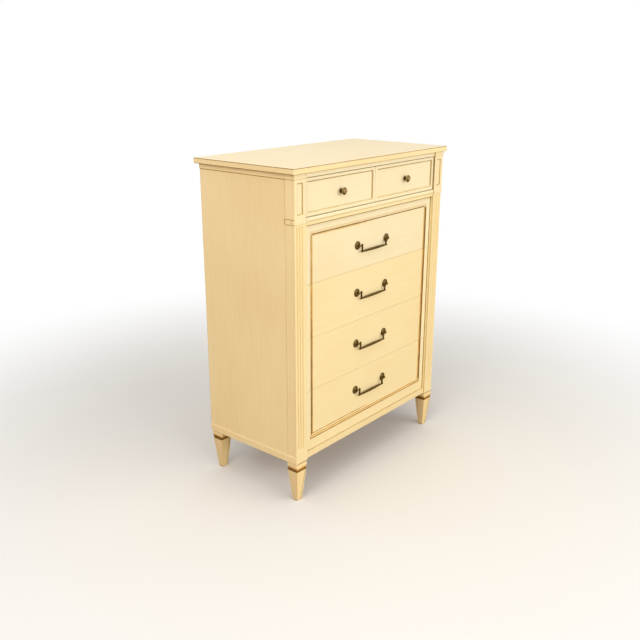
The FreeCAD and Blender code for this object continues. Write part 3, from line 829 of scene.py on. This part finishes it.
def side_paint():
    """Paint of the side panels, a little deeper in tone than the front, as painted shade."""
    surface = Surface("side_paint")
    y, z, line = surface.y, surface.z, surface.line
    on_ring = surface.within(z, small_level - ring_height, small_level, ring_end_fade)
    lines = [
        line(z, base_high.z, *BASE_LINE), line(y, side_front, *GROOVE_LINE),
        line(y, case_back, *BACK_LINE),
        surface.times(on_ring, line(y, side_front, *PANEL_RING_LINE)),
    ]
    glazes = [line(z, strip_low.z, *UNDER_STRIP_LINE)]
    bare = surface.inverse(surface.on_face(surface.across, case_half, PAINT_SKIN))
    offset = (2.1, 0.0, 0.4)
    return surface.paint(glazes, lines, GRAIN_Z, offset, bare, SIDE_SHADE_CREAMS, side_shade_tone)


def strip_paint(name, lines, gap_shadows, grain, offset, creams):
    """Paint of a straight moulding, rail or strip, with glaze lines and painted gap shadows at
    levels.
    """
    low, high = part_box(name)
    surface = Surface(name + "_paint")
    brown = [surface.arris(low, high, STRIP_ARRIS)]
    # Painted gap shadows, darker than glaze
    dark = []
    for masks, levels in ((brown, lines), (dark, gap_shadows)):
        for level, half_width, strength in levels:
            look = (half_width, strip_fade, strength)
            masks.append(surface.line(surface.z, level, *look))
    # Strips on the sides take the side faces' painted shade
    if grain == GRAIN_Y:
        return surface.paint([], brown, grain, offset, None, creams, side_shade_tone)
    bare = surface.ramp(surface.y, low.y + strip_bare_start, low.y + strip_bare_end)
    # The bottom rail deeper in tone as painted shade
    tone = bottom_rail_shade_tone if name == "bottom_rail" else 0.0
    return surface.paint([], brown, grain, offset, bare, creams, tone, dark)


def slab_paint():
    """Paint of the top, with a rubbed brown line on its upper arris; painted shade on its sides
    and painted sheen on its top.
    """
    surface = Surface("top_paint")
    z, on_face = surface.z, surface.on_face
    times, between = surface.times, surface.between
    low, high = slab_low, slab_high
    on_top = on_face(z, high.z, FINE_SKIN)
    on_side = on_face(surface.across, high.x, SLAB_SIDE_SKIN)
    on_side = times(on_side, surface.inverse(on_top))
    rim = surface.arris(low, high, SLAB_RIM)
    near_top = on_face(z, high.z, SLAB_RIM_SKIN)
    rim = times(rim, near_top, between(on_side, *SLAB_RIM_GLAZE))
    tint = surface.arris(low, high, SLAB_TINT)
    foot = surface.line(z, low.z, *SLAB_FOOT_LINE)
    foot = times(foot, between(on_side, *SLAB_FOOT_GLAZE))
    under = surface.fall(z, low.z, low.z + slab_under_edge)
    # Side faces in the painted shade creams, the top face in paler, cooler creams as painted sheen
    creams = []
    for front, side, top in zip(CREAMS, SIDE_SHADE_CREAMS, TOP_SHEEN_CREAMS):
        creams.append(surface.mix(on_top, surface.mix(on_side, front, side), top))
    offset = (0.0, 1.3, 0.9)
    return surface.paint([tint], [rim, foot], GRAIN_X, offset, under, creams, side_shade_tone)


def foot_paint(name):
    """Paint of a foot: brown glaze and painted shade under its collar, with fine lines down the
    leg, painted shade on its side faces and a painted highlight along its outer arrises.
    """
    low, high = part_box(name)
    surface = Surface(name + "_paint")
    z, line, fall, times = surface.z, surface.line, surface.fall, surface.times
    middle = (low + high) / 2
    collar_foot = foot_level - collar_height
    neck_foot = collar_foot - neck_height
    inwards = []
    from_outer = []
    for value, centre, head, toe in (
        (surface.x, middle.x, leg_head_width, leg_toe_width),
        (surface.y, middle.y, leg_head_depth, leg_toe_depth),
    ):
        slope = (head - toe) / 2 / neck_foot
        half = surface.math("MULTIPLY_ADD", z, slope, toe / 2)
        away = surface.math("SUBTRACT", value, centre)
        from_outer.append(surface.math("SUBTRACT", half, away))
        away = surface.math("ABSOLUTE", away)
        inwards.append(surface.math("SUBTRACT", half, away))
    on_leg = fall(z, neck_foot - mask_edge, neck_foot)
    on_front = fall(inwards[1], leg_skin, leg_skin + mask_edge)
    on_side = surface.inverse(on_front)

    lines = surface.highest([
        line(surface.math("MAXIMUM", *inwards), *LEG_ARRIS_LINE),
        times(line(from_outer[0], *LEG_FRONT_LINE), on_front),
        times(line(from_outer[1], *LEG_SIDE_LINE), on_side),
    ])
    lines = times(lines, on_leg)
    head = line(z, foot_level, *COLLAR_HEAD_LINE)
    head = times(head, surface.between(on_side, *COLLAR_HEAD_GLAZE))

    # Brown under the collar: glaze, and painted shade, the last one only on the side faces
    under = []
    for start, end, strength in COLLAR_GLAZE_AND_SHADES:
        under.append(fall(z, collar_foot + start, collar_foot + end, strength))
    under[-1] = times(under[-1], on_side)
    under = times(surface.highest(under), surface.inverse(on_leg))
    neck = line(z, neck_foot + neck_lift, *NECK_LINE)
    # Dark at the toe: dirt, and painted contact shade, stronger on the side faces
    dirt_and_shade = times(fall(z, *TOE_DIRT_AND_SHADE), surface.between(on_side, *TOE_DIRT_AND_SHADE_GLAZE))

    # Painted highlight along the leg's outer arrises, and painted shade on its side faces
    outer_highlight = fall(surface.math("MINIMUM", *from_outer), *LEG_HIGHLIGHT_STRIP)
    pale = surface.mix(on_front, FOOT_SIDE_SHADE_CREAM, FOOT_CREAM)
    return surface.paint(
        [under, neck, dirt_and_shade], [lines, head], GRAIN_Z, (middle.x, middle.y, 0.0),
        creams=(
            surface.mix(outer_highlight, pale, PAINTED_LIGHT_CREAM),
            surface.mix(on_front, FOOT_SIDE_SHADE_CREAM, FOOT_DEEP_CREAM),
        ),
        wash=HONEY_TINT,
    )


def brass_material(name, face, worn):
    """Antique brass, worn by the given shares at distances out from a face."""
    surface = Surface(name)
    out = surface.math("SUBTRACT", face, surface.y)
    rubs = []
    for start, end, share in worn:
        rubs.append(surface.within(out, start * MM, end * MM, worn_fade, share))
    node = surface.group(ANTIQUE_BRASS, Vector=surface.place, Rub=surface.highest(rubs))
    return surface.finish(node.outputs, 0.2, metal_relief, 1.0)


def eased(corners, steps=5):
    """Smooth outline drawn in by its corners; a corner given twice stays."""
    points = [corners[0]]
    for before, corner, after in zip(corners, corners[1:], corners[2:]):
        start = [(a + b) / 2 for a, b in zip(before, corner)]
        end = [(a + b) / 2 for a, b in zip(corner, after)]
        if before == corner:
            start = corner
        if corner == after:
            end = corner
        for n in range(steps + 1):
            t = n / steps
            point = tuple(
                (1 - t) ** 2 * a + 2 * t * (1 - t) * b + t ** 2 * c
                for a, b, c in zip(start, corner, end)
            )
            if math.dist(point, points[-1]) > finest_step:
                points.append(point)
    points.append(corners[-1])
    return points


def turn(shape, outline, place, axis, ring=False, steps=48):
    """Add a solid turned about an axis from (radius, distance) points in mm."""
    rows = []
    for radius, along in outline:
        count = steps if radius > 0 else 1
        row = []
        for n in range(count):
            angle = 2 * math.pi * n / steps
            u, v = radius * math.cos(angle), radius * math.sin(angle)
            offset = (along, u, v) if axis == "x" else (u, -along, v)
            row.append(shape.verts.new(Vector(place) + MM * Vector(offset)))
        rows.append(row)
    pairs = list(zip(rows, rows[1:]))
    if ring:
        pairs.append((rows[-1], rows[0]))
    for first, second in pairs:
        for n in range(steps):
            corners = []
            for row, index in ((first, n), (first, n + 1), (second, n + 1), (second, n)):
                vert = row[index % len(row)]
                if vert not in corners:
                    corners.append(vert)
            shape.faces.new(corners)


def eased_bar(shape, low, high, width):
    """Add a square bar between two corners, with its arrises rounded."""
    made = bmesh.ops.create_cube(shape, size=1.0)["verts"]
    for vert in made:
        share = vert.co + Vector((0.5, 0.5, 0.5))
        vert.co = [a + (b - a) * s for a, b, s in zip(low, high, share)]
    edges = list({edge for vert in made for edge in vert.link_edges})
    bmesh.ops.bevel(shape, geom=edges, offset=width, segments=3, profile=0.5, affect="EDGES")


def smooth_mesh(name, shape):
    """Mesh of closed solids with outward faces and crisp arrises kept."""
    bmesh.ops.recalc_face_normals(shape, faces=shape.faces)
    for edge in shape.edges:
        edge.smooth = edge.calc_face_angle(0.0) < math.radians(38)
    for face in shape.faces:
        face.smooth = True
    mesh = bpy.data.meshes.new(name)
    shape.to_mesh(mesh)
    shape.free()
    return mesh


def fitting_row_tree():
    """Geometry nodes that set copies of a fitting in a row, with a material."""
    inputs = (
        ("Fitting", "Geometry"), ("Count", "Int"), ("First Place", "Vector"),
        ("Step", "Vector"), ("Material", "Material"),
    )
    outputs = (("Row", "Geometry"),)
    tree, given, result = new_tree("Fitting Row", "GeometryNodeTree", inputs, outputs)
    line = tree.nodes.new("GeometryNodeMeshLine")
    copies = tree.nodes.new("GeometryNodeInstanceOnPoints")
    real = tree.nodes.new("GeometryNodeRealizeInstances")
    finish = tree.nodes.new("GeometryNodeSetMaterial")
    for start, end in (
        (given["Count"], line.inputs["Count"]),
        (given["First Place"], line.inputs["Start Location"]),
        (given["Step"], line.inputs["Offset"]),
        (line.outputs["Mesh"], copies.inputs["Points"]),
        (given["Fitting"], copies.inputs["Instance"]),
        (copies.outputs["Instances"], real.inputs["Geometry"]),
        (real.outputs["Geometry"], finish.inputs["Geometry"]),
        (given["Material"], finish.inputs["Material"]),
        (finish.outputs["Geometry"], result["Row"]),
    ):
        tree.links.new(start, end)
    return tree


def add_object(name, data):
    item = bpy.data.objects.new(name, data)
    bpy.context.scene.collection.objects.link(item)
    return item


def fitting_row(node, mesh, first, step, count, material):
    """A row of one fitting in place of a node, as one plain mesh."""
    piece = add_object(node + "_turned", mesh)
    row = piece.modifiers.new("row", "NODES")
    row.node_group = FITTING_ROW
    inputs = {"Count": count, "First Place": first, "Step": step, "Material": material}
    for item in FITTING_ROW.interface.items_tree:
        if item.name in inputs:
            row[item.identifier] = inputs[item.name]
    graph = bpy.context.evaluated_depsgraph_get()
    result = bpy.data.meshes.new_from_object(piece.evaluated_get(graph))
    piece.modifiers.clear()
    piece.data = result
    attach(piece, body_of(node))
    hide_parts(node)


def body_of(node):
    for body, nodes in frame["record"]["behaviour"]["bodies"].items():
        if node in nodes:
            return body
    raise KeyError(node)


def dress(names, material):
    """Give the named pieces one material in all their slots."""
    for name in names:
        obj = frame["nodes"][name]
        if not obj.data.materials:
            obj.data.materials.append(material)
        for place in obj.material_slots:
            place.link = "OBJECT"
            place.material = material


def dress_painted_case():
    dress(["top_panel"], slab_paint())
    dress(["left_post", "right_post"], post_paint())
    dress(["left_side_panel", "right_side_panel"], side_paint())
    rail_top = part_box("bottom_rail")[1].z
    base_middle = (base_low.z + base_high.z) / 2
    # Each strip's glaze lines and painted gap shadows, as level, half width and strength; the
    # frieze's and the mid moulding's paler creams are painted light, the side strips' creams
    # painted shade
    for n, (node, lines, gap_shadows, grain, creams) in enumerate((
        (
            "front_frieze", [(top_level, 0.4 * MM, 0.1)],
            [(frieze_level, 2.0 * MM, 1.0)], GRAIN_X, (FRIEZE_PAINTED_LIGHT_CREAM, CREAM),
        ),
        (
            "mid_moulding", [(moulding_low.z, 0.6 * MM, 0.4)],
            [(small_level, 0.8 * MM, 0.5)], GRAIN_X, (BORDER_AND_PAINTED_LIGHT_CREAM, CREAM),
        ),
        (
            "upper_rail", [(moulding_low.z, 0.4 * MM, 0.25), (rail_foot, 2.4 * MM, 0.85)],
            [], GRAIN_X, CREAMS,
        ),
        ("bottom_rail", [], [(rail_top, 0.4 * MM, 0.36)], GRAIN_X, CREAMS),
        (
            "base_mouldings", [(base_high.z, 0.4 * MM, 0.12), (base_middle, 0.4 * MM, 0.15)],
            [], GRAIN_Y, SIDE_SHADE_CREAMS,
        ),
        (
            "frieze_strips", [(strip_low.z, 0.8 * MM, 0.7), (strip_high.z, 0.8 * MM, 0.9)],
            [], GRAIN_Y, SIDE_SHADE_CREAMS,
        ),
    )):
        offset = (0.3 * n, 0.9 * n, 0.0)
        dress([node], strip_paint(node, lines, gap_shadows, grain, offset, creams))
    for node in frame["nodes"]:
        if node.endswith("_foot"):
            dress([node], foot_paint(node))


def dress_drawers():
    for n in range(1, 5):
        dress([f"drawer_{n}_front"], wide_front_paint(n))
    for side in ("left", "right"):
        dress([f"upper_{side}_front"], small_front_paint(side))
    drawers = [f"drawer_{n}" for n in range(1, 5)] + ["upper_left", "upper_right"]
    for part, name, grain, pale, dark in (
        ("_sides", "drawer_side_wood", GRAIN_Y, MAPLE, MAPLE_DARK),
        ("_back", "drawer_back_wood", GRAIN_X, MAPLE, MAPLE_DARK),
        ("_bottom", "drawer_bottom_ply", GRAIN_X, PLY, PLY_DARK),
    ):
        material = wood_material(name, grain, pale, dark)
        dress([drawer + part for drawer in drawers], material)


def dress_inside():
    boards = ["bottom_board", "dust_boards", "upper_dust_board"]
    boards += ["top_front_rail", "top_back_rail"]
    guides = ["wide_drawer_guides", "small_drawer_guides", "upper_divider"]
    dress(boards, wood_material("case_board_wood", GRAIN_X, PINE, PINE_DARK))
    dress(guides, wood_material("guide_wood", GRAIN_Y, PINE, PINE_DARK))
    dress(["back_stiles"], wood_material("stile_wood", GRAIN_Z, PINE, PINE_DARK))
    dress(["back_panel"], wood_material("back_ply", GRAIN_Z, PLY, PLY_DARK))
    dress(["foot_bolts"], steel_material())


def screw(shape, depth):
    """Add the screw from inside the drawer, its head at a depth in mm."""
    head = -depth
    back = head - screw_head_thickness
    slot = back + screw_slot_depth
    outline = eased([
        (0, slot), (1.2, slot), (1.6, back), (1.6, back), (screw_head_radius, back),
        (screw_head_radius, head), (screw_head_radius, head), (screw_radius, head),
        (screw_radius, head), (screw_radius, screw_reach), (screw_radius, screw_reach),
        (0, screw_reach),
    ], 3)
    turn(shape, outline, (0, 0, 0), "y", steps=24)


def knob_mesh(depth):
    """Turned knob: flared base, waisted neck, rimmed head and a small dome."""
    shape = bmesh.new()
    outline = eased([
        (0, 0), (knob_base_radius, 0), (knob_base_radius, 0), (knob_base_radius, 1.9),
        (7.0, 2.7), (5.0, 3.0), (4.2, 5.6), (4.5, 9.6), (6.0, 12.6), (10.2, 14.1),
        (knob_radius, 14.2), (knob_radius, 17.2), (12.6, 18.0), (9.4, 19.4),
        (8.4, 21.8), (7.9, knob_length), (6.4, knob_length), (5.9, 21.3), (4.6, 21.3),
        (3.6, 22.4), (0, knob_length),
    ])
    turn(shape, outline, (0, 0, 0), "y")
    screw(shape, depth)
    return smooth_mesh("knob", shape)


def pull_mount_mesh(depth):
    """Turned rosette and post, with the bored head that carries the bail."""
    shape = bmesh.new()
    rim = rosette_radius
    outline = eased([
        (0, 0), (rim, 0), (rim, 0), (rim, 2.2), (rim - 1.9, 2.4), (rim - 2.4, 1.4),
        (rim - 4.0, 1.4), (rim - 5.6, 2.9), (rim - 8.2, 3.1), (rim - 8.8, 2.4),
        (rim - 10.0, 2.5), (4.9, 4.3), (pull_post_radius, 5.0),
        (pull_post_radius, pull_post_length), (pull_post_radius, pull_post_length),
        (0, pull_post_length),
    ])
    turn(shape, outline, (0, 0, 0), "y")
    radius = pull_head_radius
    start = math.asin(pin_bore_radius / radius)
    steps = 16
    outline = []
    for n in range(steps + 1):
        angle = start + (math.pi - 2 * start) * n / steps
        outline.append((radius * math.sin(angle), radius * math.cos(angle)))
    turn(shape, outline, (0, -pivot_standoff * MM, 0), "x", ring=True, steps=32)
    screw(shape, depth)
    return smooth_mesh("pull_mount", shape)


def bail_piece(node, pivot, spread, material):
    """Hanging handle: a swelled bar between two eased arms on their pins."""
    shape = bmesh.new()
    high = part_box(node)[1]
    half = arm_thickness / 2
    arm = arm_half_spread
    outer = arm + half
    tip = outer + bar_end_reach
    bar_z = high.z - (bail_drop + arm_head_rise) * MM
    swell = []
    half_steps = 8
    for n in range(1 - half_steps, half_steps):
        share = n / half_steps
        radius = bar_end_radius
        radius += (bar_middle_radius - bar_end_radius) * (1 - share ** 2)
        swell.append((radius, share * arm))
    finial = [
        (0, tip), (1.7, tip), (2.3, tip - 1.4), (1.6, tip - 3.0), (2.4, outer + 0.4),
        (bar_end_radius, arm),
    ]
    right = eased(finial)
    left = [(radius, -along) for radius, along in right[::-1]]
    outline = left + swell + right[::-1]
    turn(shape, outline, (0, pivot.y, bar_z), "x", steps=32)
    for side in (-1, 1):
        eased_bar(
            shape,
            (side * arm * MM - half * MM, pivot.y - half * MM, bar_z - half * MM),
            (side * arm * MM + half * MM, pivot.y + half * MM, high.z),
            arm_easing * MM,
        )
        ends = (side * arm, side * spread)
        pin = [(0, ends[0]), (pin_radius, ends[0]), (pin_radius, ends[1]), (0, ends[1])]
        turn(shape, pin, (0, pivot.y, pivot.z), "x", steps=24)
    name = node + "_formed"
    mesh = smooth_mesh(name, shape)
    mesh.materials.append(material)
    piece = add_object(name, mesh)
    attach(piece, body_of(node))
    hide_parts(node)


def add_hardware():
    for side in ("left", "right"):
        node = f"upper_{side}_knob"
        low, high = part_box(node)
        face = low.y + knob_length * MM
        middle = (low + high) / 2
        mesh = knob_mesh((front_seat - face) / MM)
        material = brass_material(f"{node}_brass", face, KNOB_WORN)
        fitting_row(node, mesh, (middle.x, face, middle.z), (0, 0, 0), 1, material)
    for n in range(1, 5):
        node = f"drawer_{n}_pull_mounts"
        low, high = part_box(node)
        face = low.y + (pivot_standoff + pull_head_radius) * MM
        spread = high.x - rosette_radius * MM
        height = (low.z + high.z) / 2
        mesh = pull_mount_mesh((front_seat - face) / MM)
        material = brass_material(f"pull_{n}_brass", face, PULL_WORN)
        fitting_row(node, mesh, (-spread, face, height), (2 * spread, 0, 0), 2, material)
        pivot = Vector((0, face - pivot_standoff * MM, height))
        material = brass_material(f"bail_{n}_brass", face, BAIL_WORN)
        bail_piece(f"bail_{n}", pivot, spread / MM, material)


def studio_floor():
    """Pale floor that runs out into white, as the camera sees it."""
    mesh = bpy.data.meshes.new("floor")
    corners = [(-1, -1), (1, -1), (1, 1), (-1, 1)]
    corners = [(floor_reach * x, floor_reach * y, 0) for x, y in corners]
    mesh.from_pydata(corners, [], [list(range(len(corners)))])
    floor = add_object("floor", mesh)
    floor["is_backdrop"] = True
    surface = Surface("studio_floor")
    seen = surface.add("LightPath").outputs["Is Camera Ray"]
    color = surface.mix(seen, FLOOR_GLOW, FLOOR_WHITE)
    surface.feed(surface.shader.inputs["Base Color"], color)
    surface.shader.inputs["Roughness"].default_value = 0.9
    surface.shader.inputs["Specular IOR Level"].default_value = 0.1
    distance = surface.add(
        "VectorMath", {"operation": "LENGTH"}, Vector=surface.place
    ).outputs["Value"]
    away = surface.ramp(distance, floor_fade_start, floor_fade_end)
    glow = surface.add("Emission").outputs[0]
    shown = [surface.times(away, seen), surface.shader.outputs[0], glow]
    surface.blend(shown, surface.tree.nodes["Material Output"])
    mesh.materials.append(surface.material)


def surround():
    """White surround, with a softer light on the chest."""
    world = bpy.data.worlds.new("surround")
    bpy.context.scene.world = world
    world.use_nodes = True
    g = Graph(world.node_tree)
    ambient = world.node_tree.nodes["Background"]
    ambient.inputs["Color"].default_value = (1.0, 0.98, 0.95, 1)
    ambient.inputs["Strength"].default_value = 0.5
    white = g.add("Background", Color=(1, 1, 1, 1), Strength=1.0)
    rays = g.add("LightPath").outputs
    kinds = ("Camera", "Glossy", "Transmission")
    shown = g.highest([rays[f"Is {kind} Ray"] for kind in kinds])
    shown = [shown, ambient.outputs[0], white.outputs[0]]
    g.blend(shown, world.node_tree.nodes["World Output"])


def lamps():
    """Three soft lamps: place, size, watts and colour of each."""
    target = Vector((0, 0, 0.7))
    for name, place, size, power, color in (
        ("key", (0.5, -4.6, 2.0), (6.5, 2.7), 141.0, (1.0, 0.962, 0.92)),
        ("fill", (-3.9, -1.2, 3.3), (3.2, 3.2), 100.0, (1.0, 0.94, 0.86)),
        ("overhead", (-0.4, 0.2, 4.4), (3.4, 3.4), 42.0, (1.0, 0.98, 0.95)),
    ):
        light = bpy.data.lights.new(name, "AREA")
        light.shape = "RECTANGLE"
        light.size, light.size_y = size
        light.energy = power
        light.color = color
        lamp = add_object(name, light)
        lamp.location = place
        lamp.rotation_euler = (target - Vector(place)).to_track_quat("-Z", "Y").to_euler()


def camera():
    """Camera where the photograph was taken from, in the chest's own frame."""
    data = bpy.data.cameras.new("view")
    data.lens = 44.081
    data.sensor_width = 36.0
    data.sensor_fit = "HORIZONTAL"
    viewer = add_object("view", data)
    viewer.location = (-2.35859, -1.94264, 1.57896)
    pitch, roll, turned = 71.52, -0.08, -49.91
    viewer.rotation_euler = [math.radians(angle) for angle in (pitch, roll, turned)]
    bpy.context.scene.camera = viewer


FITTING_ROW = fitting_row_tree()
dress_painted_case()
dress_drawers()
dress_inside()
add_hardware()
studio_floor()
surround()
lamps()
camera()
bpy.context.scene.view_settings.view_transform = "Standard"

bpy.context.view_layer.update()
visual_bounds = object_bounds()
boxes = {"cad": cad_bounds, "visual": visual_bounds}
{k: [list(corner) for corner in v] for k, v in boxes.items()}
